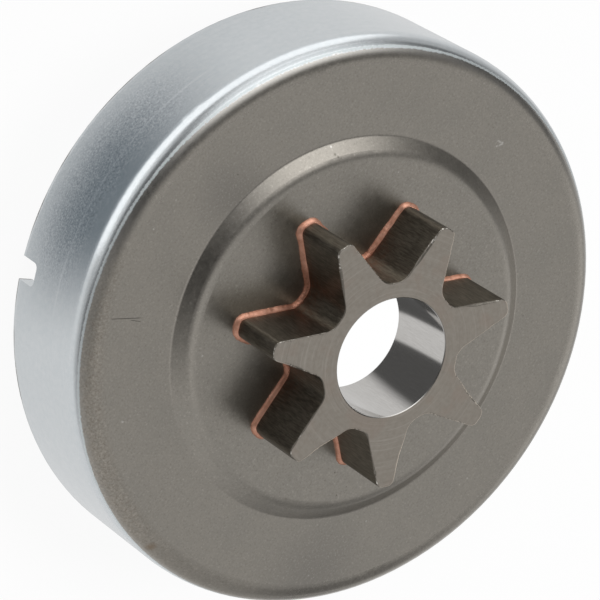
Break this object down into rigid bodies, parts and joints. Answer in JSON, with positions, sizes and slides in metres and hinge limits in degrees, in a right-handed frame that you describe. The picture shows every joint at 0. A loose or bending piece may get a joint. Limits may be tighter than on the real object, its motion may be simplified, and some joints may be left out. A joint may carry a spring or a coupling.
{
  "type": "chainsaw spur sprocket",
  "caption": "Pressed steel clutch drum with a straight-flanked toothed star brazed on its raised boss, a needle-bearing bore and a drive notch in the rim.",
  "frame": {"origin": "on the axis, in the plane of the drum's open rim, which the part stands on", "axes": "+Z along the axis, from the open rim to the free end of the star; +X and +Y across the drum, as the camera of the picture sees it from -Y"},
  "size_m": [0.0772, 0.0772, 0.0286],
  "materials": {
    "drum_steel": "bright drawn wall, satin face",
    "star_steel": "case hardened, brown-grey, worn bright on the edges",
    "braze_copper": "copper braze, satin"
  },
  "bodies": {
    "root": {"clutch_drum": "drum_steel", "spur_sprocket": "star_steel", "braze_fillet": "braze_copper"}
  },
  "joints": []
}
